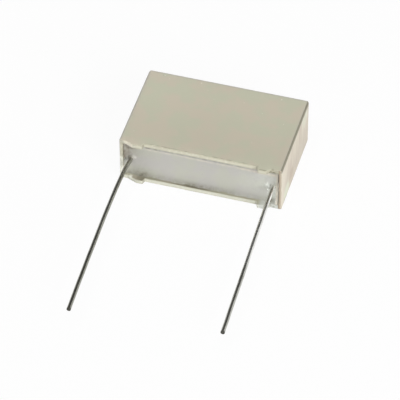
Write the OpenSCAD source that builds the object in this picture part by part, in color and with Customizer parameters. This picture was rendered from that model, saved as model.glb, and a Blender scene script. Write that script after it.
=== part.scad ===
// Box film capacitor, radial, lying on one broad face.
// Origin: centre of the broad face it lies on. X runs along the case, Y through its depth
// (the leads leave towards -Y), Z through its thickness. Millimetres.

/* [Case] */
// Length of the case, along X
case_l = 31.5; // [30.5:0.5:36]
// Depth of the case from its closed base to its rim, without the feet
case_d = 19.8; // [16:0.2:26]
// Thickness of the case, along Z
case_t = 10; // [8:0.5:14]
// Radius of the outer edges
edge_r = 0.35; // [0.2:0.05:0.6]
// Radius of the upright edges at the closed base's two ends
base_corner_r = 0.75; // [0.4:0.05:1.2]
// Thickness of the two end walls at the rim
end_wall = 0.65; // [0.5:0.05:1.1]
// Thickness of the two broad walls at the rim
broad_wall = 0.9; // [0.6:0.05:1.2]
// Thickness of the closed base
base_wall = 1; // [0.8:0.1:1.6]
// Draft of the cavity walls, degrees
draft = 0.5; // [0:0.25:1]
// Radius where the cavity walls meet its base
floor_r = 0.8; // [0.4:0.1:1.2]
// Radius of the cavity's corners at the mouth
mouth_r = 0.5; // [0.3:0.1:0.8]

/* [Feet] */
// How far the stand-off feet rise above the rim
foot_h = 0.8; // [0.4:0.1:1.2]
// Length of a foot along the broad wall, at its root
foot_l = 3.1; // [2:0.1:4]
// Distance from the end of the case to a foot
foot_inset = 1.75; // [1.2:0.05:4]
// Slope of the flank that faces the end of the case, degrees
foot_outer_slope = 40; // [0:5:50]
// Slope of the flank that faces the middle of the case, degrees
foot_inner_slope = 20; // [0:5:50]

/* [Potting resin] */
// Depth of the resin's surface below the rim
resin_recess = 0.95; // [0.8:0.05:1.6]
// Height that the resin climbs up the walls
meniscus_r = 0.45; // [0.2:0.05:0.6]
// Height that the resin climbs up each lead
collar_r = 0.4; // [0.2:0.05:0.5]
// Thickness of the resin's feathered upper edge
feather = 0.03; // [0.02:0.01:0.06]

/* [Winding] */
// Resin between the winding and the resin's surface
resin_cover = 1.8; // [1:0.1:3]
// Gap between the winding and the cavity's base
base_gap = 0.6; // [0.3:0.1:1.5]
// Gap between the winding and the broad walls, at the bottom of the cavity
side_gap = 0.4; // [0.2:0.1:1]
// Thickness of the metal sprayed on each end of the winding
spray_t = 0.6; // [0.3:0.1:1]
// Distance from the winding's outline in to the edge of the sprayed metal
spray_inset = 0.25; // [0.1:0.05:0.5]

/* [Leads] */
// Distance from each end of the case in to the lead's axis; 2 gives the 27.5 mm pitch
lead_inset = 2; // [1.9:0.05:2.6]
// Diameter of the tinned wire
lead_d = 0.8; // [0.6:0.1:1]
// Depth that a lead is pressed into the sprayed metal
weld_sink = 0.1; // [0.05:0.05:0.2]
// Length of the welded stretch of each lead
weld_l = 10; // [5:0.5:12]
// Reach of the left lead beyond the rim
left_reach = 39.7; // [30:0.1:50]
// Reach of the right lead beyond the rim
right_reach = 37.7; // [30:0.1:50]
// Distance past the rim where the leads start to splay
splay_start = 0.3; // [0.1:0.1:1]
// Lengths of the left lead's straight runs from there, apart from its last
left_runs = [8, 6, 6, 6]; // [3:0.5:10]
// Turns at the start of the left lead's runs and its last, degrees, outwards positive
left_turns = [1.6, -1, -1, -1, -1.1]; // [-3:0.1:3]
// Turn of the right lead where it starts to splay, degrees, outwards positive
right_turns = [1.6]; // [-3:0.1:3]

/* [Hidden] */
$fn = 64;

// Overshoot of a cutting shape
over = 1;
// Radius of each small turn in a lead
turn_r = 0.6;

rim_y = -case_d / 2;
floor_y = case_d / 2 - base_wall;
mid_z = case_t / 2;
level_y = rim_y + resin_recess;
lead_r = lead_d / 2;
lead_x = case_l / 2 - lead_inset;
mouth_l = case_l - 2 * end_wall;
mouth_t = case_t - 2 * broad_wall;
cavity_d = floor_y - rim_y;
narrowing = tan(draft) * cavity_d;
roll_t = mouth_t - 2 * narrowing - 2 * side_gap;
roll_front = level_y + resin_cover;
roll_back = floor_y - base_gap;
roll_w = roll_back - roll_front;
roll_y = (roll_front + roll_back) / 2;
// The outer faces of the sprayed ends lie weld_sink inside the leads' inner sides
spray_face = lead_x - lead_r + weld_sink;
roll_l = 2 * (spray_face - spray_t);

// ---- profiles ----

// Rectangle with round corners, centred
module round_rect(w, h, r) {
    square([w - 2 * r, h], center = true);
    square([w, h - 2 * r], center = true);
    for (x = [-1, 1], y = [-1, 1])
        translate([x * (w / 2 - r), y * (h / 2 - r)]) circle(r);
}

// Mouth-down section of a drafted cavity: width w at y = 0, depth d, floor corners of radius r.
// Each corner's circle touches the sloped wall and the floor.
module drafted_section(w, d, r) {
    cy = d - r;
    cx = w / 2 - tan(draft) * cy - r / cos(draft);
    wall_x = cx + r * cos(draft);
    wall_y = cy + r * sin(draft);
    above = w / 2 + tan(draft) * over;
    polygon([[-above, -over], [above, -over], [wall_x, wall_y], [cx, d],
             [-cx, d], [-wall_x, wall_y]]);
    for (x = [-cx, cx]) translate([x, cy]) circle(r);
}

// Flattened round outline, long side along its first axis
module stadium(w, h) {
    square([w - h, h], center = true);
    for (x = [-1, 1]) translate([x * (w - h) / 2, 0]) circle(h / 2);
}

// ---- orientation helpers ----

// Extrudes a profile drawn in X and Z over a stretch of Y
module along_y(y0, y1) {
    translate([0, y1, mid_z]) rotate([90, 0, 0]) linear_extrude(y1 - y0) children();
}

// Extrudes a profile drawn in X and Y over the whole thickness and a little beyond
module along_z() {
    translate([0, 0, -over]) linear_extrude(case_t + 2 * over) children();
}

// Extrudes a profile drawn as Z and Y over a stretch of X
module along_x(x0, x1) {
    translate([x0, 0, mid_z]) rotate([90, 0, 90])
        linear_extrude(x1 - x0) rotate(90) mirror([0, 1]) children();
}

// ---- case ----

// Block with every outer edge rounded except those of the open rim
module outer_block() {
    reach = case_d + 2 * over;
    intersection() {
        along_y(rim_y, case_d / 2) round_rect(case_l, case_t, edge_r);
        along_z() translate([0, case_d / 2 - reach / 2]) round_rect(case_l, reach, base_corner_r);
        along_x(-case_l / 2, case_l / 2)
            translate([0, case_d / 2 - reach / 2]) round_rect(case_t, reach, edge_r);
    }
}

// Space inside the case: round corners at the mouth, drafted walls, round floor edges
module cavity() {
    intersection() {
        along_y(rim_y - over, floor_y) round_rect(mouth_l, mouth_t, mouth_r);
        along_z() translate([0, rim_y]) drafted_section(mouth_l, cavity_d, floor_r);
        along_x(-case_l / 2, case_l / 2)
            translate([0, rim_y]) drafted_section(mouth_t, cavity_d, floor_r);
    }
}

// Stand-off foot: a tapered tab that carries on the broad wall past the rim
module foot() {
    outer = tan(foot_outer_slope) * foot_h;
    inner = tan(foot_inner_slope) * foot_h;
    linear_extrude(broad_wall)
        polygon([[0, over], [foot_l, over], [foot_l, 0], [foot_l - inner, -foot_h],
                 [outer, -foot_h], [0, 0]]);
}

module feet() {
    for (side = [0, 1], z = [0, case_t - broad_wall])
        mirror([side, 0, 0])
            translate([-case_l / 2 + foot_inset, rim_y, z]) foot();
}

module case() {
    color([0.76, 0.74, 0.67]) {
        difference() {
            outer_block();
            cavity();
        }
        feet();
    }
}

// ---- winding ----

module film_roll() {
    color([0.72, 0.73, 0.75])
        along_x(-roll_l / 2, roll_l / 2)
            translate([0, roll_y]) rotate(90) stadium(roll_w, roll_t);
}

// Metal sprayed on the winding's right-hand end
module spray() {
    along_x(roll_l / 2, spray_face)
        translate([0, roll_y]) rotate(90)
            stadium(roll_w - 2 * spray_inset, roll_t - 2 * spray_inset);
}

module right_spray() {
    color([0.58, 0.58, 0.57]) spray();
}

module left_spray() {
    color([0.58, 0.58, 0.57]) mirror([1, 0, 0]) spray();
}

// ---- leads ----

// Straight wire from the origin towards -Y
module wire(l) {
    rotate([90, 0, 0]) cylinder(r = lead_r, h = l);
}

// Sum of the first n turns
function heading(turns, n) = n == 0 ? 0 : turns[n - 1] + heading(turns, n - 1);

// Distance towards -Y that the runs cover, each along its own heading
function covered(runs, turns, n) =
    n == 0 ? 0 : runs[n - 1] * cos(heading(turns, n)) + covered(runs, turns, n - 1);

// Wire that turns towards +X, or towards -X by a negative angle, and what follows it
module turned(angle) {
    centre_x = sign(angle) * turn_r;
    translate([centre_x, 0, 0]) {
        rotate(angle > 0 ? 180 : 0)
            rotate_extrude(angle = angle) translate([turn_r, 0]) circle(lead_r);
        rotate(angle) translate([-centre_x, 0, 0]) children();
    }
}

// Straight runs with a small turn before each, and a last run that ends at the stated reach
module bent_wire(runs, turns, reach, i = 0) {
    last = (reach - covered(runs, turns, len(runs))) / cos(heading(turns, len(turns)));
    turned(turns[i]) {
        wire(i < len(runs) ? runs[i] : last);
        if (i < len(runs)) translate([0, -runs[i], 0]) bent_wire(runs, turns, reach, i + 1);
    }
}

// Right-hand lead: welded along the sprayed end, straight out past the rim, then bent. The side
// that is pressed into the sprayed metal is flat.
module lead(runs, turns, reach) {
    weld_y = roll_front + spray_inset + weld_l;
    difference() {
        translate([lead_x, weld_y, mid_z]) wire(weld_y - rim_y + splay_start);
        translate([roll_l / 2, roll_front + spray_inset, mid_z - lead_d])
            cube([spray_face - roll_l / 2, roll_w, 2 * lead_d]);
    }
    translate([lead_x, rim_y - splay_start, mid_z])
        bent_wire(runs, turns, reach - splay_start);
}

module right_lead() {
    color([0.62, 0.62, 0.6]) lead([], right_turns, right_reach);
}

module left_lead() {
    color([0.62, 0.62, 0.6]) mirror([1, 0, 0]) lead(left_runs, left_turns, left_reach);
}

// ---- potting resin ----

// Open space above the resin. Its lower edges are round, so the resin climbs the walls.
module free_space() {
    l = mouth_l - 2 * feather;
    t = mouth_t - 2 * feather;
    reach = 4 * over;
    intersection() {
        along_y(level_y - reach / 2, level_y) round_rect(l, t, mouth_r);
        along_z() translate([0, level_y - reach / 2]) round_rect(l, reach, meniscus_r);
        along_x(-case_l / 2, case_l / 2)
            translate([0, level_y - reach / 2]) round_rect(t, reach, meniscus_r);
    }
}

// Concave ring of resin that climbs a lead
module collar() {
    rotate([90, 0, 0]) rotate_extrude() difference() {
        square([lead_r + feather + collar_r, collar_r]);
        translate([lead_r + feather + collar_r, collar_r]) circle(collar_r);
    }
}

module resin_fill() {
    crest_y = level_y - meniscus_r;
    color([0.76, 0.76, 0.73]) difference() {
        union() {
            difference() {
                intersection() {
                    cavity();
                    translate([-case_l / 2, crest_y, 0]) cube([case_l, case_d, case_t]);
                }
                free_space();
            }
            for (x = [-lead_x, lead_x]) translate([x, level_y, mid_z]) collar();
        }
        film_roll();
        left_spray();
        right_spray();
        left_lead();
        right_lead();
    }
}

case();
resin_fill();
film_roll();
left_spray();
right_spray();
left_lead();
right_lead();
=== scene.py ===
import math

import bpy
import numpy as np
from mathutils import Matrix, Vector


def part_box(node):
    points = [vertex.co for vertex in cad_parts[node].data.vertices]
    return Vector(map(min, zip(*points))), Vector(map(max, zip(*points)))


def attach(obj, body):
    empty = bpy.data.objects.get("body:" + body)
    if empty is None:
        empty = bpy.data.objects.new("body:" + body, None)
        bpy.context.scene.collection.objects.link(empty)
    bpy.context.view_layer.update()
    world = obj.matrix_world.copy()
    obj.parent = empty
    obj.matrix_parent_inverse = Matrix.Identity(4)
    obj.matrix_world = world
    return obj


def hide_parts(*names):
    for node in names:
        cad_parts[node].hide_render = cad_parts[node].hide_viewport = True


# Box film capacitor on a pale table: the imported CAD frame, dressed.
# Lengths in the dictionaries are millimetres, and everything that reaches Blender is metres.
mm = 0.001
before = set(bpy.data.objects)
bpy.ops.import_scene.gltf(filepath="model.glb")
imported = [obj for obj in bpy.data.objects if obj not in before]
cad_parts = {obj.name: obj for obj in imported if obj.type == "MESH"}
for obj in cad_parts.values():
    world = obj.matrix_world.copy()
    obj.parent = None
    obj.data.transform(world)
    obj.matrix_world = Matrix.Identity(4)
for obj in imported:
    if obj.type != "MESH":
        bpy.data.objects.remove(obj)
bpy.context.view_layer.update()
caseLow, caseHigh = [np.array(corner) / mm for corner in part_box("case")]
rollLow, rollHigh = [np.array(corner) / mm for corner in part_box("film_roll")]
midZ = (caseLow[2] + caseHigh[2]) / 2
halfLength = (caseHigh[0] - caseLow[0]) / 2
halfThick = (caseHigh[2] - caseLow[2]) / 2
# the case reaches as far forward, without its feet, as it does back
baseY = float(caseHigh[1])
rimY = -baseY
print("frame loaded:", len(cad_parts), "nodes")


# meshes from arrays

def gridQuads(rows, columns, closed):
    # quad (i, j) joins points i*columns+j, its right-hand neighbour and the two of the next row
    i = np.arange(rows - 1)[:, None]
    j = np.arange(columns if closed else columns - 1)[None, :]
    k = (j + 1) % columns
    corners = [i * columns + j, i * columns + k, (i + 1) * columns + k, (i + 1) * columns + j]
    return np.stack(np.broadcast_arrays(*corners), axis=-1).reshape(-1, 4)


def poleFan(ring, pole):
    # triangle j joins points j and j+1 of the ring to the pole
    return np.stack([ring, np.roll(ring, -1), np.full(len(ring), pole)], axis=-1)


def signedVolume(points, faces):
    # a sixth of the sum of a . (b x c) over the triangles that fan out of each face's first corner
    total = 0.0
    for first in range(1, faces.shape[1] - 1):
        a, b, c = points[faces[:, 0]], points[faces[:, first]], points[faces[:, first + 1]]
        total += np.einsum("ij,ij->i", a, np.cross(b, c)).sum() / 6
    return total


def addObject(name, data):
    made = bpy.data.objects.new(name, data)
    bpy.context.scene.collection.objects.link(made)
    return made


def meshObject(name, points, quads, triangles):
    mesh = bpy.data.meshes.new(name)
    mesh.from_pydata(points.tolist(), [], quads.tolist() + np.asarray(triangles, int).tolist())
    mesh.polygons.foreach_set("use_smooth", np.ones(len(mesh.polygons), bool))
    return addObject(name, mesh)


def makePiece(name, points, quads, triangles, sharpAngle=35):
    # points in mm become one mesh in metres, its faces turned outwards where the volume says inwards
    points = np.asarray(points, float) * mm
    volume = signedVolume(points, quads)
    if len(triangles):
        volume += signedVolume(points, triangles)
    if volume < 0:
        quads = quads[:, ::-1]
        triangles = triangles[:, ::-1] if len(triangles) else triangles
    piece = meshObject(name, points, quads, triangles)
    piece.data.set_sharp_from_angle(angle=math.radians(sharpAngle))
    piece.data.update()
    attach(piece, "root")
    return piece


def makeTube(name, grid, poles, sharpAngle=35):
    # rings of points, with a middle point that closes the first one and one that closes the last
    rows, columns = grid.shape[:2]
    count = rows * columns
    first = np.arange(columns)
    fans = np.concatenate([poleFan(first, count)[:, ::-1], poleFan(first + count - columns, count + 1)])
    points = np.concatenate([grid.reshape(-1, 3), poles])
    return makePiece(name, points, gridQuads(rows, columns, True), fans, sharpAngle)


def storeValues(piece, name, values, atPoles=()):
    # one number for each point of the mesh
    values = np.append(values, atPoles).astype(np.float32)
    piece.data.attributes.new(name, "FLOAT", "POINT").data.foreach_set("value", values)


def softStep(value, low, high):
    # 3t^2 - 2t^3 of the value's place t between low and high
    t = np.clip((value - low) / (high - low), 0, 1)
    return t * t * (3 - 2 * t)


def waves(x, y, seed, scale, count=9):
    # sum of cosines in seeded directions with falling amplitude, within about -1 to 1
    rng = np.random.default_rng(seed)
    total = np.zeros(np.broadcast(x, y).shape)
    weight = 0.0
    for n in range(count):
        angle, phase = rng.uniform(0, 2 * math.pi, 2)
        pace = 2 * math.pi / scale * (1 + 0.55 * n)
        amplitude = 1 / (1 + 0.5 * n)
        total += amplitude * np.cos(pace * (x * math.cos(angle) + y * math.sin(angle)) + phase)
        weight += amplitude
    return total / weight * 2


def mounds(x, z, spots):
    # sum of height * exp(-(dx/sizeX)^2 - (dz/sizeZ)^2) over spots of x, z, sizeX, sizeZ and height
    total = 0.0 * x
    for spotX, spotZ, sizeX, sizeZ, height in spots:
        total = total + height * np.exp(-(((x - spotX) / sizeX) ** 2) - ((z - spotZ) / sizeZ) ** 2)
    return total


def band(gap, width):
    # exp(-(gap/width)^2)
    return np.exp(-((gap / width) ** 2))


# the case

shell = {
    "edgeRadius": 0.35, "baseCornerRadius": 0.75, "lipRadius": 0.09,
    "endWall": 0.65, "broadWall": 0.9, "mouthRadius": 0.5,
    "draft": 0.5, "floorRadius": 0.8, "baseWall": 1.0,
    "footHeight": 0.8, "footStart": 10.9, "footInnerSlope": 20, "footFillet": 0.13,
    # where a foot's top and its outer flank end, and how high its toe is there
    "leftUpperFoot": (13.0, 14.42, 0.19), "leftLowerFoot": (12.4, 14.3, 0.0),
    "rightFoot": (12.7, 13.6, 0.0),
    # how far the evenly spaced points reach along the broad walls and the ends
    "evenTo": 10.5, "endEvenTo": 3.3, "cornerMargin": 0.04,
    "sink": 0.05, "rimWear": 0.035,
    # painted shade with some stain: how dark the lower cavity wall is, at places along it, and the other
    # walls
    "shadeAndStainX": (-14.5, -13.2, -12.6, -12, -11.2, -10.4, -7, -4, -2.5, -1, 0.5, 2, 6, 10, 11.4, 12.3, 12.9, 15),
    "shadeAndStain": (0.1, 0.1, 0.35, 0.74, 0.72, 0.6, 0.47, 0.7, 0.82, 0.84, 0.76, 0.5, 0.4, 0.34, 0.24, 0.12,
              0.08, 0.06),
    "wallDark": 0.45, "leftDark": 0.75, "leftPaler": 0.6, "rightDark": 0.05,
}
# half the mouth's length and half its thickness
mouthLength = halfLength - shell["endWall"]
mouthThick = halfThick - shell["broadWall"]


def footOutline(outerTop, outerEnd, toe):
    # a trapezoid's four corners, each cut back by the fillet and bridged by
    # the curve (1-t)^2 a + 2t(1-t) corner + t^2 b
    inner, height = shell["footStart"], shell["footHeight"]
    innerFlank = math.tan(math.radians(shell["footInnerSlope"])) * height
    corners = np.array([[inner - 1, 0], [inner, 0], [inner + innerFlank, height],
                        [outerTop, height], [outerEnd, toe], [outerEnd + 0.5, toe * 0.9]])
    t = np.linspace(0, 1, 7)[:, None]
    pieces = []
    for n in range(1, 5):
        corner = corners[n]
        before = corners[n - 1] - corner
        after = corners[n + 1] - corner
        a = corner + before / np.linalg.norm(before) * shell["footFillet"]
        b = corner + after / np.linalg.norm(after) * shell["footFillet"]
        pieces.append((1 - t) ** 2 * a + 2 * t * (1 - t) * corner + t ** 2 * b)
    line = np.concatenate(pieces)
    return line[:, 0], line[:, 1]


def caseRing():
    # round rectangle as coefficients of its half length, half thickness and corner radius, walked
    # once round: x = fixedX + perLength * length + perRoundX * radius, and
    # z = fixedZ + perThick * thick + perRoundZ * radius, with the feet's height as a seventh row
    rightX, rightH = footOutline(*shell["rightFoot"])
    walls = []
    for name in ("leftLowerFoot", "leftUpperFoot"):
        leftX, leftH = footOutline(*shell[name])
        straight = np.linspace(-shell["evenTo"], shell["evenTo"], 57)
        walls.append((np.concatenate([-leftX[::-1], straight, rightX]),
                      np.concatenate([leftH[::-1], 0 * straight, rightH])))
    endZ = np.linspace(-shell["endEvenTo"], shell["endEvenTo"], 12)
    arc = np.linspace(0, math.pi / 2, 9)
    columns = []
    for quarter in range(4):
        side = 1 if quarter in (0, 1) else -1
        level = -1 if quarter in (0, 3) else 1
        if quarter in (0, 2):
            x, height = walls[quarter // 2]
            if quarter == 2:
                x, height = x[::-1], height[::-1]
            zero = np.zeros_like(x)
            columns.append(np.stack([x, zero, zero, zero, zero + level, zero, height]))
        else:
            z = endZ if quarter == 1 else -endZ
            zero = np.zeros_like(z)
            columns.append(np.stack([zero, zero + side, zero, z, zero, zero, zero]))
        start = -math.pi / 2 + quarter * math.pi / 2
        nearX, nearZ = [(1, -1), (1, 1), (-1, 1), (-1, -1)][quarter]
        angle = start + arc
        one = np.ones_like(angle)
        turn = np.stack([0 * one, nearX * one, np.cos(angle) - nearX, 0 * one, nearZ * one,
                         np.sin(angle) - nearZ, 0 * one])
        # each arc begins and ends with a short straight, as long as the margin
        margin = shell["cornerMargin"]
        first, last = turn[:, :1].copy(), turn[:, -1:].copy()
        first[0 if quarter in (0, 2) else 3] -= margin * (nearX if quarter in (0, 2) else nearZ)
        last[3 if quarter in (0, 2) else 0] -= margin * (nearZ if quarter in (0, 2) else nearX)
        turn = np.concatenate([first, turn, last], axis=1)
        if quarter == 2:  # the upper left foot's toe runs out round its corner
            turn[6] = shell["leftUpperFoot"][2] * np.linspace(0.85, 0, turn.shape[1])
        columns.append(turn)
    return np.concatenate(columns, axis=1)


def caseProfile():
    # rows from the closed base over the outside, round the rim and down the drafted cavity:
    # half length, half thickness, corner radius, fixed depth, share of the rim's depth, share of
    # the base corner's roundness, zone number, how far the row has the rim's and cavity's tone, and
    # the scale that draws the row in towards the middle
    s = shell
    lip, edge, mouth = s["lipRadius"], s["edgeRadius"], s["mouthRadius"]
    quarter = math.pi / 2
    rows = []

    def addRow(length, thick, radius, depth, share=0, roundness=0, zone=0, rimTone=0, cavityTone=0, scale=1):
        rows.append([length, thick, radius, depth, share, roundness, zone, rimTone, cavityTone, scale])

    for scale in (0.4, 0.8):
        addRow(halfLength - s["baseCornerRadius"], halfThick - edge, edge * 0.14, baseY, scale=scale)
    for turn in np.linspace(quarter, 0, 9):
        inward = 1 - math.cos(turn)
        addRow(halfLength - s["baseCornerRadius"] * inward, halfThick - edge * inward,
               edge * (1 - 0.86 * inward), baseY, 0, 1 - math.sin(turn))
    for share in np.linspace(0.05, 1, 13):
        addRow(halfLength, halfThick, edge, baseY - 1 if share < 1 else lip, share, 0, 1)
    for turn in np.linspace(0, quarter, 5)[1:]:
        inward = lip * (1 - math.cos(turn))
        addRow(halfLength - inward, halfThick - inward, edge, lip * (1 - math.sin(turn)), 1, 0, 2,
               turn / quarter)
    for share in (0.25, 0.5, 0.75):
        addRow(halfLength - lip + (mouthLength + 2 * lip - halfLength) * share,
               halfThick - lip + (mouthThick + 2 * lip - halfThick) * share,
               edge + (mouth - edge) * share, 0, 1, 0, 2, 1)
    for turn in np.linspace(quarter, 0, 5):
        inward = lip * (1 - math.cos(turn))
        dark = 1 - turn / quarter
        addRow(mouthLength + inward, mouthThick + inward, mouth, lip * (1 - math.sin(turn)), 1, 0, 2,
               1 - dark, dark)
    addRow(mouthLength, mouthThick, mouth, lip + 0.04, 1, 0, 2, 0, 1)
    # the drafted walls, then the floor's round edge
    deep = baseY - s["baseWall"] - s["floorRadius"]
    slope = math.tan(math.radians(s["draft"]))
    for depth in (rimY + 0.6, rimY + 1.2, rimY + 3, deep):
        narrow = slope * (depth - rimY)
        addRow(mouthLength - narrow, mouthThick - narrow, mouth, depth, zone=3, cavityTone=1)
    narrow = slope * (deep - rimY)
    for turn in np.linspace(0, quarter, 6)[1:]:
        inward = s["floorRadius"] * (1 - math.cos(turn)) + narrow
        addRow(mouthLength - inward, mouthThick - inward, mouth, deep + s["floorRadius"] * math.sin(turn),
               zone=3, cavityTone=1)
    addRow(*rows[-1][:9], 0.5)
    return np.array(rows)


def buildCase():
    # point (row, column): the ring's x and z with the row's length, thickness and radius, its fixed
    # places drawn in where a row's straights are shorter. The depth is baseY - roundness * corner on
    # the base, (baseY - corner) * (1 - share) + wallTop * share on the outer walls, rim + the row's
    # own on the rim, and the row's own inside
    fixedX, perLength, perRoundX, fixedZ, perThick, perRoundZ, foot = caseRing()
    columns = np.split(caseProfile(), 10, axis=1)
    length, thick, radius, depth, share, roundness, zone, rimTone, cavityTone, scale = columns
    fitX = np.minimum(1, (length - radius - 0.05) / np.abs(fixedX).max())
    fitZ = np.minimum(1, (thick - radius - 0.05) / np.abs(fixedZ).max())
    x = (fixedX * fitX + perLength * length + perRoundX * radius) * scale
    z = (fixedZ * fitZ + perThick * thick + perRoundZ * radius) * scale
    isArc = (perLength != 0) & (perThick != 0)
    isWall = (perThick != 0) & (perLength == 0)
    isEnd = np.where(isArc, np.abs(perRoundX + perLength) ** 2, np.where(perLength != 0, 1.0, 0.0))
    corner = shell["edgeRadius"] + (shell["baseCornerRadius"] - shell["edgeRadius"]) * isEnd
    wear = shell["rimWear"] * (0.5 + 0.5 * waves(x[-1], z[-1], 4, 3.1))
    rim = rimY - foot + np.clip(wear, 0, 2 * shell["rimWear"])
    wallTop = rim + shell["lipRadius"]
    y = np.where(zone == 0, baseY - roundness * corner, depth + 0 * x)
    y = np.where((zone == 1) & (share < 1), (baseY - corner) * (1 - share) + wallTop * share, y)
    y = np.where((zone == 1) & (share >= 1), wallTop, y)
    y = np.where(zone == 2, rim + depth, y)
    # the broad walls sink by sink * sin(pi share) * (1 - (x / halfLength)^2)
    inner = np.where(zone == 1, 1.0, 0.0) * np.sin(math.pi * np.clip(share, 0, 1))
    dip = shell["sink"] * inner * (1 - (x / halfLength) ** 2)
    z = z - np.sign(perThick) * dip * isWall
    poles = [[0, baseY, midZ], [0, baseY - shell["baseWall"], midZ]]
    piece = makeTube("caseShell", np.stack([x, y, z + midZ], axis=-1), poles)
    # cavity walls, painted shade with some stain: the lower one darkest in front of the left foot and left
    # of the middle, and the left one streaked, paler in its lower half
    leftDark = shell["leftDark"] + 0.2 * waves(x, z, 61, 2.3)
    leftDark = leftDark * (1 - shell["leftPaler"] * softStep(-z, -0.9, -0.1))
    lowerDark = np.interp(x, shell["shadeAndStainX"], shell["shadeAndStain"])
    dark = np.where(isWall & (perThick < 0), lowerDark, shell["wallDark"])
    dark = np.where(perLength < 0, leftDark, dark)
    dark = np.where(perLength > 0, shell["rightDark"], dark)
    # slopes of the left feet: falling towards the right-hand end, which get painted shade, or rising
    # from the left-hand one, which get a painted highlight
    run = np.gradient(x[-8]) + 1e-9
    slope = np.gradient(foot) / run
    onFeet = isWall & (fixedX < 0)
    # painted shade on the flanks that face the right-hand end
    flank = np.where(onFeet, np.clip(-slope, 0, 2) / 2, 0)
    # painted highlight on the slopes that rise from the left-hand end
    rising = np.where(onFeet & (perThick > 0), np.clip(slope * 3, 0, 1), 0)
    # each tone with its values at the base's and the floor's middle points
    storeValues(piece, "rim", rimTone + 0 * x, [0, 0])
    storeValues(piece, "inside", np.clip(cavityTone * dark, 0, 1), [0, 0.5])
    storeValues(piece, "flank", rimTone * flank * 0.55, [0, 0])
    storeValues(piece, "slope", rimTone * rising, [0, 0])
    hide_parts("case")
    print("case shell:", len(piece.data.polygons), "faces")
    return piece


caseShell = buildCase()


# the two leads

leads = {
    "radius": 0.4, "sides": 28, "x": 13.75, "start": 3.1,
    "leftReach": 39.65, "rightReach": 37.45, "splayStart": 0.3,
    "leftRuns": [8, 6, 6, 6], "leftTurns": [1.6, -1, -1, -1, -1.1], "rightTurns": [1.6],
    "tipRound": 0.03, "kink": 0.012, "kinkPace": 0.11, "dent": 0.012, "rightShift": 0.12,
    # stretches are distances from the case's middle towards the tips
    "leftBow": 0.2, "bow": (16, 36), "bowKept": 0.11, "bowBack": (38, 45), "cutLength": 0.4,
    "rootIn": 0.16, "rootOut": 0.14, "rootBend": (9.3, 12.5), "rootBack": (13, 24),
    # painted highlight and painted shade beside the right root, at degrees round the wire
    "highlightSide": 158, "highlightWidth": 17, "highlightEnd": (12.5, 15),
    "duskSide": 92, "duskWidth": 30, "duskStart": (9.5, 10.3), "duskEnd": (13, 16),
}


def leadCentres(runs, turns, reach, side):
    # straight runs, each along its own heading, and a last one that ends at the reach
    x, y, heading = leads["x"], rimY - leads["splayStart"], 0.0
    corners = [(x, leads["start"]), (x, y)]
    for n, turn in enumerate(turns):
        heading += math.radians(turn)
        left = (rimY - reach - y) / -math.cos(heading)
        run = runs[n] if n < len(runs) else left
        x, y = x + run * math.sin(heading), y - run * math.cos(heading)
        corners.append((x, y))
    corners = np.array(corners)
    depth = np.concatenate([np.linspace(corners[0, 1], -10.0, 30), np.linspace(-10.1, corners[-1, 1], 150)])
    across = np.interp(-depth, -corners[:, 1], corners[:, 0])
    for n in range(2):  # running mean rounds the bends
        wide = np.pad(across, 3, mode="edge")
        mean = sum(wide[k:k + len(across)] for k in range(7)) / 7
        keep = np.minimum(np.arange(len(across)), np.arange(len(across))[::-1]) < 4
        across = np.where(keep, across, mean)
    along = np.arange(len(depth))
    ends = softStep(-depth, 11, 16) * softStep(-depth, -corners[-1, 1], -corners[-1, 1] - 5)
    wobble = leads["kink"] * np.sin(along * leads["kinkPace"] + side) * ends
    if side < 0:
        bow = leads["leftBow"] * softStep(-depth, *leads["bow"])
        wobble = wobble - bow + (leads["leftBow"] - leads["bowKept"]) * softStep(-depth, *leads["bowBack"])
        # the root leans inwards where it leaves the resin, then swings out and back
        swing = leads["rootIn"] + leads["rootOut"]
        wobble += swing * softStep(-depth, *leads["rootBend"]) - leads["rootIn"]
        wobble -= leads["rootOut"] * softStep(-depth, *leads["rootBack"])
    else:
        wobble = wobble + leads["rightShift"]
    return np.stack([side * (across + wobble), depth, np.full(len(depth), midZ)], axis=-1)


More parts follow.
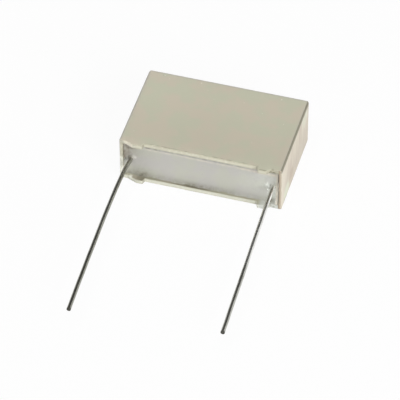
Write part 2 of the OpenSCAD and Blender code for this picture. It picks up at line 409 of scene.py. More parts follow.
def buildLead(name, node, runs, turns, reach, side, seed):
    # tube: centre + radius (cos a * across + sin a * up), with a small round at the cut tip
    centres = leadCentres(runs, turns, reach, side)
    ahead = np.gradient(centres, axis=0)
    ahead /= np.linalg.norm(ahead, axis=1)[:, None]
    tip = centres[-1]
    turn = np.linspace(0, math.pi / 2, 5)[1:]
    roundOff = leads["tipRound"]
    body = centres[:-1]
    back = tip - ahead[-1] * roundOff
    nose = back + ahead[-1] * (roundOff * np.sin(turn))[:, None]
    path = np.concatenate([body, [back], nose])
    radius = np.concatenate([np.full(len(body) + 1, leads["radius"]),
                             leads["radius"] - roundOff * (1 - np.cos(turn))])
    heading = np.concatenate([ahead[:-1], np.repeat(ahead[-1:], len(turn) + 1, axis=0)])
    up = np.array([0.0, 0.0, 1.0])
    across = np.cross(heading, up)
    angle = np.linspace(0, 2 * math.pi, leads["sides"], endpoint=False)
    dent = 1 - leads["dent"] * (0.5 + 0.5 * waves(path[:, 1][:, None], angle[None, :] * 1.2, seed, 5))
    circle = np.cos(angle)[None, :, None] * across[:, None, :] + np.sin(angle)[None, :, None] * up
    points = path[:, None, :] + circle * (radius[:, None] * dent)[:, :, None]
    piece = makeTube(name, points, [path[0], tip], 40)
    length = np.append(0, np.cumsum(np.linalg.norm(np.diff(path, axis=0), axis=1)))
    cut = softStep(length, length[-1] - leads["cutLength"], length[-1] - leads["tipRound"])
    storeValues(piece, "cut", np.repeat(cut, leads["sides"]), [0, 1])
    # near the right root: a painted highlight down the right flank, and painted shade beside it
    degrees = np.degrees(angle)[None, :]
    rootHighlight = band(degrees - leads["highlightSide"], leads["highlightWidth"])
    dusk = band(degrees - leads["duskSide"], leads["duskWidth"])
    rootHighlight = rootHighlight * (1 - softStep(-path[:, 1], *leads["highlightEnd"]))[:, None] * (side > 0)
    dusk = dusk * (1 - softStep(-path[:, 1], *leads["duskEnd"]))[:, None] * (side > 0)
    dusk = dusk * softStep(-path[:, 1], *leads["duskStart"])[:, None]
    storeValues(piece, "rootHighlight", rootHighlight, [0, 0])
    storeValues(piece, "dusk", dusk, [0, 0])
    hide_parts(node)
    print(name + ":", len(piece.data.polygons), "faces")
    return piece


leftWire = buildLead(
    "leftWire", "left_lead", leads["leftRuns"], leads["leftTurns"], leads["leftReach"], -1, 51)
rightWire = buildLead("rightWire", "right_lead", [], leads["rightTurns"], leads["rightReach"], 1, 52)


# the potting resin

resin = {
    "wallGap": 0.015, "level": 0.95, "cornerRadius": 0.5,
    "climb": 0.45, "lowerClimb": 0.5, "climbReach": 0.3, "leftClimb": 0.6, "rightClimb": 0.2,
    "leftEndReach": 0.42, "rightEndReach": 0.3,
    "leftCollar": 0.65, "rightCollar": 0.3, "collarReach": 0.26, "collarShare": 0.9,
    "ripple": 0.02, "fineRipple": 0.006,
    # the underside's distances from the winding and from the cavity's floor, and how far the part
    # over the winding reaches past it
    "rollClearance": 0.06, "floorGap": 0.9, "pastRoll": (0.7, 0.1),
    # the grid's places: in from the ends and the sides, closer beside the leads, and even between
    "endSteps": (0, 0.06, 0.12, 0.18, 0.23, 0.27, 0.31, 0.35, 0.39, 0.45, 0.52, 0.6),
    "sideSteps": (0, 0.04, 0.09, 0.15, 0.22, 0.3, 0.4),
    "besideLead": (12.6, 14.35, 30), "along": (-12.5, 12.5, 190), "across": (-3.6, 3.6, 88),
    # mounds of x, z, size along x, size along z, and height or strength
    "blobs": [(-14.25, -0.2, 0.2, 0.2, 0.32), (-14.55, -0.2, 0.14, 0.2, 0.3), (-14.75, -0.9, 0.15, 0.2, 0.3),
              (12.7, -0.3, 0.45, 0.7, 0.14), (14.3, -2.4, 0.4, 1.1, 0.1), (14.7, -3.7, 0.6, 0.8, 0.42),
              (-12.4, -3.4, 1.3, 0.6, 0.12)],
    "darkSpots": [(-0.9, -4.1, 2.6, 0.5, 0.35), (-11.5, -4.1, 0.9, 0.8, 0.46), (-12.0, -3.3, 1.7, 1.3, 0.14),
                  (-13.9, 0.9, 1.6, 2.2, 0.25), (-13.75, 2.25, 0.7, 0.24, 0.5), (14.15, -0.3, 0.2, 0.6, 0.4),
                  (13.3, -0.3, 0.16, 0.4, 0.25), (13.95, 3.2, 0.7, 0.25, 0.5), (13.5, -3.9, 0.3, 0.5, 0.45)],
    "darkEndSpot": [(14.3, 0.25, 0.35, 0.45, 0.5)],
    # pale mounds: a painted highlight beside the right lead, painted highlights left of the left one, and
    # painted light in the lower right corner
    "rightRootGlint": [(12.7, -0.9, 0.55, 1.1, 1.3)],
    "paintedLightSpots": [(14.6, -2.4, 0.7, 2.0, 0.7), (-14.45, -0.3, 0.36, 0.4, 1.2), (-14.8, -1, 0.2, 0.4, 0.8)],
    "chipped": [(12.75, -0.9, 0.6, 1.1, 1.2), (14.3, -3.2, 0.5, 0.9, 0.8)],
    # shade below the upper rim, and the dark line at the right-hand end, at places along them
    "shadeX": (-15, -11.3, -10.8, -9.5, -8, 0, 8, 12), "shade": (0, 0, 0.5, 0.5, 0.3, 0.3, 0.25, 0.05),
    "lineZ": (-4, -2.5, -0.5, 0, 0.6, 1.2, 4), "line": (0.2, 0.7, 0.7, 0, 0, 0.95, 1), "lineWidth": 0.31,
}


def mouthGaps(x, z):
    # distances from the mouth's left, right, lower and upper walls
    return mouthLength + x, mouthLength - x, mouthThick + z, mouthThick - z


def resinHeight(x, z):
    # climb of the surface above its level: height * exp(-gap/reach) from the walls and the leads,
    # with blobs and ripples on top
    r = resin
    left, right, lower, upper = mouthGaps(x, z)
    wallClimb = np.where(z < 0, r["lowerClimb"], r["climb"])
    height = wallClimb * np.exp(-np.minimum(lower, upper) / r["climbReach"])
    height = height * (1 + 0.3 * waves(x, z, 11, 4.5))
    endClimb = np.where(x < 0, r["leftClimb"], r["rightClimb"]) * (1 + 0.12 * waves(x * 0.2, z, 5, 1.3))
    endReach = np.where(x < 0, r["leftEndReach"], r["rightEndReach"])
    height = np.maximum(height, endClimb * np.exp(-np.minimum(left, right) / endReach))
    root = np.where(x < 0, leads["rootIn"] - leads["x"], leads["x"] + leads["rightShift"])
    away = np.clip(np.hypot(x - root, z) - leads["radius"], 0, None)
    collar = np.where(x < 0, r["leftCollar"], r["rightCollar"]) * np.exp(-away / r["collarReach"])
    height = height + r["collarShare"] * collar * (1 + 0.25 * waves(x, z, 21, 1.7))
    height += mounds(x, z, r["blobs"])
    height += r["ripple"] * waves(x, z, 31, 9) + r["fineRipple"] * waves(x, z, 32, 2.2)
    return np.clip(height, -0.06, r["level"] - 0.02)


def resinShadeAndStain(x, z):
    # painted shade on the resin, with some stain: dark bands along the walls and round the leads, and mounds
    r = resin
    left, right, lower, upper = mouthGaps(x, z)
    # painted shade along the lower wall of the recess
    dark = 0.3 * band(lower, 0.7) * (0.9 + 0.15 * waves(x, z * 0.2, 41, 11)) + 0.12 * band(lower, 1.5)
    shade = np.interp(x, r["shadeX"], r["shade"]) * (1 + 0.7 * waves(x, 0 * z, 81, 2.1))
    dark += shade * band(upper - 1.05, 0.16)
    # the left end: painted shade, streaked on the wall, browner towards the lead
    uneven = 0.75 + 0.35 * waves(x * 2.4, z * 0.35, 43, 1.6)
    dark += 0.8 * band(left, 0.85) * softStep(z, -0.9, 0.1) * uneven
    # darker towards the left, and dark spots, partly painted shade in the recess and under blobs
    dark += 0.1 * (1 - softStep(x, -13.2, -7)) + mounds(x, z, r["darkSpots"])
    # painted shade round the leads, below the right one
    away = np.hypot(np.abs(x) - leads["x"], z) - leads["radius"]
    below = softStep(-z, -0.1, 0.4)
    dark += np.where(x < 0, 0.2, 0.5 * below) * band(np.clip(away, 0, None), 0.16)
    # the line where the resin meets the right-hand end
    dark = dark * (1 - 0.8 * softStep(x, 14.1, 14.6))
    width = r["lineWidth"] + 0.02 * z
    dark += np.interp(z, r["lineZ"], r["line"]) * (1 - softStep(right, width, width + 0.06))
    return np.clip(dark + mounds(x, z, r["darkEndSpot"]), 0, 1)


def resinLight(x, z):
    # how pale it looks: painted highlights beside the leads, painted light along the right end over the
    # end wall's shade, paler towards the right, and a paler band under the upper rim
    r = resin
    right, upper = mouthLength - x, mouthThick - z
    pale = mounds(x, z, r["rightRootGlint"]) * (0.5 + 0.7 * waves(x * 1.6, z * 0.25, 71, 0.9))
    pale += mounds(x, z, r["paintedLightSpots"]) + 1.1 * band(right - 0.25, 0.55) + 0.4 * softStep(x, 4, 13)
    underRim = band(upper - 1.45, 0.25) * softStep(x, -12, -10)
    pale += 0.42 * underRim * (1 + 0.5 * waves(x, z, 82, 3.7))
    return np.clip(pale, 0, 1)


def buildResin():
    # cap of resin: a surface y = level - climb(x, z) over the mouth's round rectangle, and behind it
    # the same grid set back to just before the winding or, beside it, to a little before the floor
    r = resin
    halfMouth, halfGap = mouthLength - r["wallGap"], mouthThick - r["wallGap"]
    ends = halfMouth - np.array(r["endSteps"])
    near = np.linspace(*r["besideLead"])
    xs = np.unique(np.concatenate([-ends, ends, -near, near, np.linspace(*r["along"])]))
    sides = halfGap - np.array(r["sideSteps"])
    zs = np.unique(np.concatenate([-sides, sides, np.linspace(*r["across"])]))
    x, share = np.meshgrid(xs, zs / halfGap, indexing="ij")
    over = np.clip(np.abs(x) - (halfMouth - r["cornerRadius"]), 0, r["cornerRadius"])
    z = share * (halfGap - r["cornerRadius"] + np.sqrt(r["cornerRadius"] ** 2 - over ** 2))
    top = rimY + r["level"] - resinHeight(x, z)
    narrow = math.tan(math.radians(shell["draft"]))
    pastX, pastZ = r["pastRoll"]
    overRoll = (np.abs(x) < rollHigh[0] + pastX) & (np.abs(z) < rollHigh[2] - midZ + pastZ)
    floor = baseY - shell["baseWall"] - r["floorGap"]
    bottom = np.where(overRoll, rollLow[1] - r["rollClearance"], floor)
    shrinkZ = 1 - narrow * (bottom - rimY) / np.where(overRoll, 1e6, halfGap)
    upper = np.stack([x, top, z + midZ], axis=-1)
    shrinkX = 1 - narrow * (bottom - rimY) / halfMouth
    lower = np.stack([x * shrinkX, bottom, z * shrinkZ + midZ], axis=-1)
    rows, columns = x.shape
    count = rows * columns
    points = np.concatenate([upper.reshape(-1, 3), lower.reshape(-1, 3)])
    topQuads = gridQuads(rows, columns, False)
    index = np.arange(count).reshape(rows, columns)
    border = np.concatenate([index[:-1, 0], index[-1, :-1], index[:0:-1, -1], index[0, :0:-1]])
    after = np.roll(border, -1)
    skirt = np.stack([border, after, after + count, border + count], axis=-1)
    quads = np.concatenate([topQuads, topQuads[:, ::-1] + count, skirt])
    piece = makePiece("resinCap", points, quads, np.zeros((0, 3), int), 50)
    # the grid above and the one below carry the same tones
    chips = np.clip(mounds(x, z, r["chipped"]), 0, 1)
    for name, values in (("shadeAndStain", resinShadeAndStain(x, z)), ("pale", resinLight(x, z)), ("chips", chips)):
        storeValues(piece, name, np.tile(values.ravel(), 2))
    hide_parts("resin_fill")
    print("resin cap:", len(piece.data.polygons), "faces")
    return piece


resinCap = buildResin()


# shader nodes

def isSocket(value):
    return isinstance(value, bpy.types.NodeSocket)


def give(socket, value):
    # a socket takes another node's output, or a number or colour of its own
    if isSocket(value):
        socket.id_data.links.new(value, socket)
    else:
        socket.default_value = value


def treeOf(*values):
    # the node tree that the first output among the values belongs to
    return next(value for value in values if isSocket(value)).id_data


def addNode(tree, kind, values=None, **settings):
    made = tree.nodes.new(kind)
    for name, value in settings.items():
        setattr(made, name, value)
    for key, value in (values or {}).items():
        give(made.inputs[key], value)
    return made


def sums(operation, a, b=0.0):
    return addNode(treeOf(a, b), "ShaderNodeMath", {0: a, 1: b}, operation=operation).outputs[0]


def times(*factors):
    # the product of them all
    product = factors[0]
    for factor in factors[1:]:
        product = sums("MULTIPLY", product, factor)
    return product


def layer(base, tone, *masks):
    # the tone laid over the base as far as the masks' product, held within 0 and 1, says
    made = addNode(treeOf(*masks), "ShaderNodeMix", {"Factor": times(*masks)}, data_type="RGBA")
    sockets = {socket.identifier: socket for socket in [*made.inputs, *made.outputs]}
    give(sockets["A_Color"], base)
    give(sockets["B_Color"], tone)
    return sockets["Result_Color"]


def between(value, low, high, a=0.0, b=1.0, smooth=True):
    # the value's place between low and high, as a number from a to b
    kind = "SMOOTHSTEP" if smooth else "LINEAR"
    values = {0: value, 1: low, 2: high, 3: a, 4: b}
    return addNode(value.id_data, "ShaderNodeMapRange", values, interpolation_type=kind).outputs[0]


def noise(place, scale, detail=3.0, roughness=0.55):
    values = {"Vector": place, "Scale": scale, "Detail": detail, "Roughness": roughness}
    return addNode(place.id_data, "ShaderNodeTexNoise", values).outputs[0]


def vectors(operation, place, other):
    return addNode(place.id_data, "ShaderNodeVectorMath", {0: place, 1: other}, operation=operation).outputs


def stretched(place, factors):
    # a factor below 1 draws what follows out along that axis
    return vectors("MULTIPLY", place, factors)[0]


def stored(place, name):
    # the mesh's own value of that name, for the tree that the place belongs to
    return addNode(place.id_data, "ShaderNodeAttribute", attribute_name=name).outputs["Fac"]


def colour(red, green, blue):
    # 0 to 255 as seen on a screen, to linear light
    values = np.array([red, green, blue]) / 255
    linear = np.where(values <= 0.04045, values / 12.92, ((values + 0.055) / 1.055) ** 2.4)
    return (*linear.tolist(), 1.0)


def emptyTree(owner):
    owner.use_nodes = True
    owner.node_tree.nodes.clear()
    return owner.node_tree


def newMaterial(name):
    # with its skin, and the object coordinates in millimetres as one place and as three parts
    made = bpy.data.materials.new(name)
    tree = emptyTree(made)
    skin = addNode(tree, "ShaderNodeBsdfPrincipled")
    addNode(tree, "ShaderNodeOutputMaterial", {"Surface": skin.outputs[0]})
    values = {0: addNode(tree, "ShaderNodeTexCoord").outputs["Object"], "Scale": 1 / mm}
    place = addNode(tree, "ShaderNodeVectorMath", values, operation="SCALE").outputs[0]
    return made, skin, place, addNode(tree, "ShaderNodeSeparateXYZ", {0: place}).outputs


def finishSkin(skin, base, rough, height, strength, depth):
    # the skin's colour, its roughness, and bumps with the depth in millimetres
    values = {"Height": height, "Strength": strength, "Distance": depth * mm}
    bump = addNode(height.id_data, "ShaderNodeBump", values).outputs[0]
    for label, value in (("Base Color", base), ("Roughness", rough), ("Normal", bump)):
        give(skin.inputs[label], value)


def newGroup(name, numbers, results):
    # a node group that takes a place and some numbers, and gives the named results
    tree = bpy.data.node_groups.new(name, "ShaderNodeTree")
    tree.interface.new_socket("Vector", in_out="INPUT", socket_type="NodeSocketVector")
    for label, value in numbers.items():
        tree.interface.new_socket(label, in_out="INPUT", socket_type="NodeSocketFloat").default_value = value
    for label in results:
        tree.interface.new_socket(label, in_out="OUTPUT", socket_type="NodeSocketFloat")
    return tree, tree.nodes.new("NodeGroupInput").outputs, tree.nodes.new("NodeGroupOutput").inputs


# effects that several materials share

def makeGrain():
    # fine bumps of a cast or moulded skin over broader unevenness
    tree, given, wanted = newGroup("skinGrain", {"Fine": 6.0, "Broad": 0.5}, ["Height", "Mottle"])
    fine = noise(given["Vector"], given["Fine"], 4.0, 0.6)
    broad = noise(given["Vector"], given["Broad"], 3.0, 0.5)
    give(wanted["Height"], sums("ADD", times(fine, 0.35), broad))
    give(wanted["Mottle"], between(broad, 0.38, 0.62))
    return tree


def makeSpecks():
    # round specks: the part of each Voronoi cell that lies near its centre, kept in some cells only
    tree, given, wanted = newGroup("specks", {"Scale": 1.0, "Size": 0.1, "Kept": 0.2}, ["Mask"])
    values = {"Vector": given["Vector"], "Scale": given["Scale"]}
    cells = addNode(tree, "ShaderNodeTexVoronoi", values).outputs
    near = sums("LESS_THAN", cells["Distance"], given["Size"])
    chance = addNode(tree, "ShaderNodeSeparateColor", {0: cells["Color"]}).outputs[0]
    give(wanted["Mask"], times(near, sums("LESS_THAN", chance, given["Kept"])))
    return tree


def makeStreaks():
    # long scratches or drips: noise over a place that was stretched along one direction
    tree, given, wanted = newGroup("streaks", {"Scale": 1.0, "Low": 0.5, "High": 0.65}, ["Mask"])
    lines = noise(given["Vector"], given["Scale"], 3.0, 0.6)
    give(wanted["Mask"], between(lines, given["Low"], given["High"]))
    return tree


skinGrain = makeGrain()
specks = makeSpecks()
streaks = makeStreaks()
print("shared effects made")


def grained(place, fine, broad):
    values = {"Vector": place, "Fine": fine, "Broad": broad}
    return addNode(place.id_data, "ShaderNodeGroup", values, node_tree=skinGrain).outputs


def speckled(place, scale, size, kept):
    values = {"Vector": place, "Scale": scale, "Size": size, "Kept": kept}
    return addNode(place.id_data, "ShaderNodeGroup", values, node_tree=specks).outputs[0]


def streaked(place, scale, low, high):
    values = {"Vector": place, "Scale": scale, "Low": low, "High": high}
    return addNode(place.id_data, "ShaderNodeGroup", values, node_tree=streaks).outputs[0]


# materials

casePlastic = {
    "beige": colour(198, 190, 172), "sage": colour(192, 192, 171), "dull": colour(160, 154, 136),
    # the dark olive tone here is painted shade for the cavity walls, and the dark brownish one serves real
    # smears and painted shade on the feet's flanks
    "inside": colour(84, 82, 62), "speck": colour(226, 226, 214), "smearAndShade": colour(120, 116, 96),
    "edgeDark": colour(112, 108, 88), "edgeGrey": colour(180, 177, 170),
    "endPale": colour(205, 197, 180), "endPink": colour(186, 172, 158), "endLow": colour(182, 172, 158),
    "endNear": colour(207, 199, 183), "endTan": colour(178, 163, 144), "endGreen": colour(203, 206, 186),
    "rim": colour(184, 180, 158), "rimLow": colour(193, 192, 175), "rimDull": colour(170, 166, 146),
    # the pale last tone here is a painted highlight for the feet's slopes, and the brown one before it is
    # painted shade for the right-hand end's rim
    "rimGrey": colour(192, 194, 187), "rimRight": colour(158, 140, 120), "slopeHighlight": colour(232, 224, 206),
    "roughness": 0.55, "grain": 0.05, "shine": 0.45,
    # marks of place, radius, strength and tone: on the right-hand end, then on the rest
    "endMarks": [((15.75, -2.9, 3.0), 1.7, 0.55, "endTan"), ((15.75, -4.5, 2.1), 1.1, 0.5, "endTan"),
                 ((15.75, -6.4, 1.6), 2.4, 0.8, "endGreen"), ((15.75, 6.3, 8.8), 2.6, 0.6, "endGreen")],
    "marks": [((13.4, -9.9, 9.3), 0.42, 0.8, "smearAndShade"), ((14.15, -9.85, 9.1), 0.45, 0.8, "smearAndShade"),
              ((15.5, -9.7, 9.6), 0.4, 0.5, "smearAndShade"), ((-11.9, -10.65, 0.5), 0.7, 0.18, "smearAndShade"),
              ((13.9, -9.9, 9.9), 0.3, 0.45, "smearAndShade"), ((13.5, -9.85, 0.6), 0.45, 0.5, "smearAndShade"),
              # the pale mark at (-13.6, -9.95, 0.7), on the lower rim by the left foot, is a painted
              # highlight
              ((14.2, -9.85, 0.4), 0.3, 0.4, "smearAndShade"), ((-13.6, -9.95, 0.7), 0.5, 0.85, "speck"),
              ((-12.46, 9.1, 10.0), 0.14, 0.8, "speck"), ((-5.21, 8.9, 10.0), 0.16, 0.7, "speck"),
              ((10.61, 8.7, 10.0), 0.15, 0.8, "speck"), ((-12.77, 9.05, 10.0), 0.16, 0.4, "smearAndShade")],
}


def spotted(place, wander, base, marks):
    # marks with ragged edges, laid over the base one after another
    for spot, radius, strength, tone in marks:
        away = vectors("DISTANCE", place, spot)["Value"]
        ragged = sums("ADD", away, times(wander, max(1.0, radius * 2)))
        mask = between(ragged, radius, radius * 0.5, 0.0, strength)
        base = layer(base, casePlastic[tone], mask)
    return base


def endFaceTone(place, part, wander):
    # the right-hand end: upright streaks, duller towards the table, and patches over them
    m = casePlastic
    drips = streaked(stretched(place, (1.0, 1.0, 0.16)), 1.1, 0.4, 0.7)
    tone = layer(m["endPale"], m["endPink"], drips, 0.7)
    tone = layer(tone, m["endLow"], between(part[2], 8.5, 1.5), 0.6)
    tone = layer(tone, m["endNear"], between(part[1], rimY + 3.5, rimY + 1.2))
    return spotted(place, wander, tone, m["endMarks"])


def edgeTones(place, part, wander, base):
    # rounded edges, by the distance from where two faces would meet: sqrt(gap^2 + otherGap^2)
    m = casePlastic
    gapX = sums("SUBTRACT", halfLength, sums("ABSOLUTE", part[0]))
    gapY = sums("SUBTRACT", baseY, part[1])
    gapZ = sums("SUBTRACT", halfThick, sums("ABSOLUTE", sums("SUBTRACT", part[2], midZ)))
    alongY, alongX = [sums("SQRT", sums("ADD", times(gap, gap), times(gapZ, gapZ))) for gap in (gapX, gapY)]
    edge = sums("ADD", sums("MINIMUM", alongY, alongX), wander)
    base = layer(base, m["edgeGrey"], between(edge, 0.62, 0.3), 0.55)
    # a dark line along the upper right one
    line = between(sums("ADD", alongY, times(wander, 0.5)), 0.42, 0.27)
    rightHalf = sums("GREATER_THAN", part[0], 0.0)
    upperHalf = sums("GREATER_THAN", part[2], midZ)
    base = layer(base, m["edgeDark"], line, rightHalf, upperHalf, 0.8)
    # a faint broken line along the upper rim's outer edge, and along the right foot's
    footY = rimY - shell["footHeight"]
    onTop = between(part[2], float(caseHigh[2]) - 0.3, float(caseHigh[2]) - 0.1)
    onRim = times(between(part[0], -10.5, -10), between(part[0], 11.3, 10.9),
                  between(part[1], rimY + 0.4, rimY + 0.2))
    onFoot = times(between(part[0], 11.2, 11.6), between(part[1], footY + 0.4, footY + 0.2))
    broken = between(noise(place, 0.8), 0.35, 0.65, 0.0, 0.4)
    line = sums("ADD", times(onRim, broken), times(onFoot, 0.5))
    return layer(base, m["edgeDark"], line, onTop)


def rimTones(place, part, upward, lowRim, lowRight):
    m = casePlastic
    # distances out from the mouth's edge
    outX = sums("SUBTRACT", sums("ABSOLUTE", part[0]), mouthLength)
    outZ = sums("SUBTRACT", sums("ABSOLUTE", upward), mouthThick)
    out = sums("MAXIMUM", outX, outZ)
    tone = layer(m["rim"], m["rimLow"], lowRim)
    tone = layer(tone, m["speck"], between(out, 0.08, 0.3), between(out, 0.8, 0.5), 0.28)
    tone = layer(tone, m["speck"], streaked(place, 1.3, 0.5, 0.7), 0.3)
    highRim = between(upward, mouthThick - 0.1, mouthThick)
    tone = layer(tone, m["rimDull"], highRim, between(part[0], 12.5, 13.1))
    # painted highlight on the left feet's rising slopes
    tone = layer(tone, m["slopeHighlight"], stored(place, "slope"), 0.8)
    tone = layer(tone, m["rimGrey"], lowRight)
    # the right-hand end's rim: painted shade, with a dark line at the mouth, paler towards the outside
    rightTone = layer(m["rimRight"], m["endNear"], between(outX, 0.06, 0.76, smooth=False))
    lowLine = times(between(outX, 0.21, 0.13), between(upward, -0.1, -0.4, 0.0, 0.75),
                    between(upward, -4.0, -2.8, 0.6, 1.0))
    highLine = times(between(outX, 0.14, 0.07), between(upward, 0.7, 1.0, 0.0, 0.6))
    rightTone = layer(rightTone, m["edgeDark"], sums("ADD", lowLine, highLine))
    tone = layer(tone, rightTone, between(part[0], mouthLength - 0.1, mouthLength))
    # the left-hand end's rim: duller, and paler in its lower half
    leftEnd = between(part[0], -mouthLength + 0.05, -mouthLength - 0.05)
    tone = layer(tone, m["dull"], leftEnd, 0.22)
    return layer(tone, m["speck"], leftEnd, between(upward, 0.9, 0.1, 0.0, 0.75))


def makeCasePlastic():
    m = casePlastic
    made, skin, place, part = newMaterial("casePlastic")
    grain = grained(place, 5.0, 0.28)
    wander = times(sums("SUBTRACT", noise(place, 0.9), 0.5), 0.18)
    base = layer(m["beige"], m["sage"], grain["Mottle"])
    # a little duller towards the leads and to the right
    dull = sums("ADD", between(part[1], 8.0, -9.0, 0.0, 0.16), between(part[0], -14.0, 0.0, 0.0, 0.08))
    base = layer(base, m["dull"], dull)
    endFace = between(part[0], halfLength - 0.12, halfLength - 0.02)
    base = layer(base, endFaceTone(place, part, wander), endFace)
    base = edgeTones(place, part, wander, base)
    # the rim, the smeared lower right corner of the mouth, painted shade on the left feet's flanks, and
    # painted shade in the cavity
    upward = sums("SUBTRACT", part[2], midZ)
    lowRim = between(upward, -mouthThick + 0.1, -mouthThick)
    lowRight = times(lowRim, between(part[0], 11.1, 11.9))
    base = layer(base, rimTones(place, part, upward, lowRim, lowRight), stored(place, "rim"))
    beforeEnd = between(part[0], mouthLength, mouthLength - 0.1)
    base = layer(base, m["rimGrey"], between(part[1], -8.4, -9.2), lowRight, beforeEnd)
    # painted shade on the left feet's flanks
    base = layer(base, m["smearAndShade"], stored(place, "flank"))
    # painted shade inside the cavity
    base = layer(base, m["inside"], stored(place, "inside"))
    base = spotted(place, wander, base, m["marks"])
    # pale specks of dust
    base = layer(base, m["speck"], speckled(place, 0.5, 0.045, 0.35), 0.7)
    height = grain["Height"]
    rough = between(height, 0.3, 1.0, m["roughness"] - 0.06, m["roughness"] + 0.08, False)
    finishSkin(skin, base, rough, height, 0.35, m["grain"])
    skin.inputs["Specular IOR Level"].default_value = m["shine"]
    return made


pottingResin = {
    "grey": colour(180, 180, 169), "lavender": colour(179, 177, 172), "dark": colour(98, 94, 76),
    "pale": colour(208, 211, 202), "warm": colour(218, 211, 196), "feather": colour(236, 229, 214),
    "chip": colour(240, 243, 236), "brown": colour(104, 90, 76),
    "roughness": 0.34, "grain": 0.03, "shine": 0.5,
}


def makeResin():
    m = pottingResin
    made, skin, place, part = newMaterial("pottingResin")
    grain = grained(place, 7.0, 0.35)
    base = layer(m["grey"], m["lavender"], grain["Mottle"])
    patchy = between(noise(place, 1.6, 4.0), 0.3, 0.7, 0.6, 1.15, False)
    # pale parts, mostly painted light, warmer towards the upper wall and at the right-hand end
    pale = layer(m["pale"], m["warm"], between(part[2], midZ + 1.9, midZ + 2.5))
    pale = layer(pale, m["feather"], between(part[0], 14.1, 14.7))
    base = layer(base, pale, stored(place, "pale"), patchy)
    # painted shade with some stain: dark parts, browner in the upper left corner and at the right-hand end
    upperLeft = times(between(part[0], -11.5, -13.2), between(part[2], midZ - 1, midZ + 0.5))
    brownish = sums("MAXIMUM", upperLeft, between(part[0], 14.5, 14.65))
    dark = layer(m["dark"], m["brown"], brownish)
    base = layer(base, dark, stored(place, "shadeAndStain"), patchy)
    # pale and dark chips, and small bubbles
    chips = stored(place, "chips")
    tall = stretched(place, (1.0, 0.3, 0.45))
    base = layer(base, m["chip"], speckled(tall, 3.4, 0.42, 0.45), chips)
    base = layer(base, m["dark"], speckled(tall, 2.6, 0.36, 0.3), chips, 0.45)
    bubbles = speckled(place, 0.9, 0.06, 0.25)
    base = layer(base, m["dark"], bubbles, 0.35)
    rough = sums("ADD", m["roughness"], times(grain["Mottle"], 0.12))
    finishSkin(skin, base, rough, sums("SUBTRACT", grain["Height"], bubbles), 0.4, m["grain"])
    skin.inputs["Specular IOR Level"].default_value = m["shine"]
    return made


wireTin = {
    "bright": colour(246, 246, 242), "dull": colour(158, 158, 148), "cutFace": colour(76, 75, 68),
    "pit": colour(84, 85, 78), "dusk": colour(112, 112, 104), "rootHighlight": colour(252, 252, 248),
    "roughness": 0.22, "grain": 0.012,
    # where the near part's painted dimness, a darker reflection, goes over into the far part's, and how
    # much each wire has of them
    "change": (-28.0, -33.0), "left": (0.75, 1.0), "right": (0.1, 0.65),
}


def makeWireTin(name, nearDimness, farDimness):
    # the near part is next to the case
    m = wireTin
    made, skin, place, part = newMaterial(name)
    lines = streaked(stretched(place, (5.0, 0.35, 5.0)), 1.6, 0.36, 0.66)
    grain = grained(place, 9.0, 0.6)
    # painted dimness: a darker reflection, more on the left wire and on the part far from the case
    paintedDimness = between(part[1], *m["change"], nearDimness, farDimness)
    base = layer(m["bright"], m["dull"], sums("ADD", times(lines, 0.3), paintedDimness))
    base = layer(base, m["pit"], speckled(place, 2.2, 0.16, 0.2), 0.4)
    cut, rootHighlight = stored(place, "cut"), stored(place, "rootHighlight")
    base = layer(base, m["cutFace"], cut, 0.9)
    # painted shade and a painted highlight beside the right root
    base = layer(base, m["dusk"], stored(place, "dusk"), 0.75)
    base = layer(base, m["rootHighlight"], rootHighlight)
    give(skin.inputs["Metallic"], sums("SUBTRACT", 1.0, rootHighlight))
    rough = sums("ADD", m["roughness"], times(lines, 0.12))
    rough = sums("ADD", rough, times(cut, 0.3))
    height = sums("ADD", times(lines, 0.5), grain["Height"])
    finishSkin(skin, base, rough, height, 0.35, m["grain"])
    return made


woundFilm = {
    "light": colour(206, 208, 212), "dark": colour(150, 152, 158),
    "roughness": 0.25, "turns": 9.0, "grain": 0.02,
}


def makeWoundFilm():
    # fine lines along the winding's turns
    m = woundFilm
    made, skin, place = newMaterial("woundFilm")[:3]
    grain = grained(place, 4.0, 0.3)
    lines = streaked(stretched(place, (0.05, 3.0, 3.0)), m["turns"], 0.4, 0.6)
    base = layer(m["light"], m["dark"], lines, 0.6)
    rough = sums("ADD", m["roughness"], times(grain["Mottle"], 0.1))
    finishSkin(skin, base, rough, sums("ADD", lines, grain["Height"]), 0.3, m["grain"])
    return made


sprayedZinc = {
    "light": colour(176, 177, 176), "dark": colour(118, 118, 116),
    "roughness": (0.5, 0.75), "grain": 0.06,
}


def makeSprayedZinc():
    # small round drops over a coarse grain
    m = sprayedZinc
    made, skin, place = newMaterial("sprayedZinc")[:3]
    grain = grained(place, 8.0, 1.4)
    base = layer(m["light"], m["dark"], grain["Mottle"])
    rough = between(grain["Height"], 0.3, 1.0, *m["roughness"], False)
    height = sums("ADD", times(speckled(place, 3.0, 0.25, 0.5), 0.6), grain["Height"])
    finishSkin(skin, base, rough, height, 0.7, m["grain"])
    skin.inputs["Metallic"].default_value = 1.0
    return made


# each piece's material goes to its CAD node too
nodeMaterials = {"film_roll": makeWoundFilm(), "left_spray": makeSprayedZinc()}
nodeMaterials["right_spray"] = nodeMaterials["left_spray"]
for piece, nodeName, finish in ((caseShell, "case", makeCasePlastic()), (resinCap, "resin_fill", makeResin()),
                                (leftWire, "left_lead", makeWireTin("leftWireTin", *wireTin["left"])),
                                (rightWire, "right_lead", makeWireTin("rightWireTin", *wireTin["right"]))):
    piece.data.materials.append(finish)
    nodeMaterials[nodeName] = finish
for nodeName, finish in nodeMaterials.items():
    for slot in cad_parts[nodeName].material_slots:
        slot.material = finish
print("materials given to", len(nodeMaterials), "nodes and 4 pieces")


# table, lamps and camera

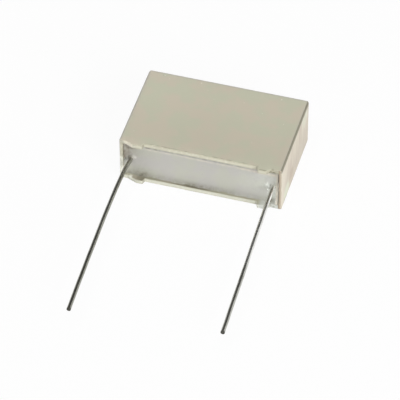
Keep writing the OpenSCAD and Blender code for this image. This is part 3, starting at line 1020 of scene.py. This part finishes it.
studio = {
    "tableRadius": 0.8, "bowlRadius": 1.15, "bowlHeight": 0.3, "tableSides": 96,
    "tableWhite": 0.995, "tableShade": 0.06, "paper": (0.84, 0.88),
    # each lamp's watts, size, azimuth, elevation and distance
    "keyLamp": (9.84, 0.7, 48, 27, 1.1), "topLamp": (7.44, 0.9, 0, 80, 1.2),
    # light of the surroundings, and what glossy faces mirror: a dim room with one window
    "world": 0.18, "mirrored": 0.1, "window": 1.1, "windowTo": (0.657, 0.72, 0.225), "windowEdge": (21, 15),
}


def tablePaper():
    # the camera and mirroring faces see plain white, and other rays meet matt paper
    s = studio
    made = bpy.data.materials.new("tableTop")
    tree = emptyTree(made)
    rays = addNode(tree, "ShaderNodeLightPath").outputs
    seen = sums("MAXIMUM", rays["Is Camera Ray"],
                sums("MAXIMUM", rays["Is Glossy Ray"], rays["Is Transmission Ray"]))
    values = {"Color": (1, 1, 1, 1), "Strength": s["tableWhite"]}
    white = addNode(tree, "ShaderNodeEmission", values).outputs[0]
    place = addNode(tree, "ShaderNodeTexCoord").outputs["Object"]
    paper = between(noise(place, 900.0, 2.0), 0.2, 0.8, *s["paper"], False)
    shade = addNode(tree, "ShaderNodeCombineColor", {0: paper, 1: paper, 2: paper}).outputs[0]
    matt = addNode(tree, "ShaderNodeBsdfDiffuse", {"Color": shade}).outputs[0]
    values = {0: times(seen, 1 - s["tableShade"]), 1: matt, 2: white}
    mixed = addNode(tree, "ShaderNodeMixShader", values).outputs[0]
    addNode(tree, "ShaderNodeOutputMaterial", {"Surface": mixed})
    return made


def makeTable():
    # bowl: radius r from 0 to its rim, height = bowlHeight * (1 - cos) beyond the flat table
    s = studio
    bend = np.linspace(s["tableRadius"], s["bowlRadius"], 13)
    radii = np.concatenate([[0.02, 0.2, 0.5], bend])
    t = np.clip((radii - s["tableRadius"]) / (s["bowlRadius"] - s["tableRadius"]), 0, 1)
    height = s["bowlHeight"] * (1 - np.cos(t * math.pi / 2))
    angle = np.linspace(0, 2 * math.pi, s["tableSides"], endpoint=False)
    around = np.stack([np.cos(angle), np.sin(angle), 0 * angle], axis=-1)
    points = radii[:, None, None] * around + height[:, None, None] * np.array([0, 0, 1])
    points = np.concatenate([points.reshape(-1, 3), [[0, 0, 0]]])
    fan = poleFan(np.arange(len(angle)), len(points) - 1)[:, ::-1]
    table = meshObject("table", points, gridQuads(len(radii), len(angle), True), fan)
    table.data.materials.append(tablePaper())


def backwards(turn, tilt):
    # from the object towards azimuth turn (0 in front, 90 on the right) and elevation tilt
    a, e = math.radians(turn), math.radians(tilt)
    return np.array([math.sin(a) * math.cos(e), -math.cos(a) * math.cos(e), math.sin(e)])


def aim(holder, back, place, roll=0.0):
    # own axes: right = z x back and up = back x right, both turned by the roll, and back
    right = np.cross([0, 0, 1], back)
    right = right / np.linalg.norm(right)
    up = np.cross(back, right)
    c, s = math.cos(roll), math.sin(roll)
    turned = np.eye(4)
    turned[:3] = np.stack([c * right + s * up, c * up - s * right, back, place], axis=-1)
    holder.matrix_world = Matrix(turned.tolist())


def makeLamps():
    # round area lamps that face the object
    for name in ("keyLamp", "topLamp"):
        watts, size, turn, tilt, distance = studio[name]
        lamp = bpy.data.lights.new(name, "AREA")
        lamp.shape = "DISK"
        lamp.size = size
        lamp.energy = watts
        back = backwards(turn, tilt)
        aim(addObject(name, lamp), back, back * distance)


def makeWorld():
    # the window's brightness falls off between two angles from its middle
    s = studio
    world = bpy.data.worlds.new("studio")
    tree = emptyTree(world)
    heading = addNode(tree, "ShaderNodeTexCoord").outputs["Generated"]
    nearness = vectors("DOT_PRODUCT", heading, s["windowTo"])["Value"]
    outer, inner = [math.cos(math.radians(angle)) for angle in s["windowEdge"]]
    window = between(nearness, outer, inner, s["mirrored"], s["window"])
    mirrored = addNode(tree, "ShaderNodeLightPath").outputs["Is Glossy Ray"]
    power = addNode(tree, "ShaderNodeMix", {"Factor": mirrored, "A": s["world"], "B": window}).outputs[0]
    shade = addNode(tree, "ShaderNodeBackground", {"Color": (1, 1, 1, 1), "Strength": power}).outputs[0]
    addNode(tree, "ShaderNodeOutputWorld", {"Surface": shade})
    bpy.context.scene.world = world


shot = {
    "azimuth": 16.1491, "elevation": 45.188, "roll": -0.0476, "place": (0.1211901, -0.4287262, 0.4370577),
    "lens": 295.988, "sensor": 36, "clip": (0.01, 20),
}


def makeCamera():
    camera = bpy.data.cameras.new("camera")
    camera.lens = shot["lens"]
    camera.sensor_width = shot["sensor"]
    camera.clip_start, camera.clip_end = shot["clip"]
    holder = addObject("camera", camera)
    aim(holder, backwards(shot["azimuth"], shot["elevation"]), shot["place"], math.radians(shot["roll"]))
    bpy.context.scene.camera = holder


makeTable()
makeLamps()
makeWorld()
makeCamera()
bpy.context.scene.view_settings.view_transform = "Standard"
print("table, lamps and camera made")
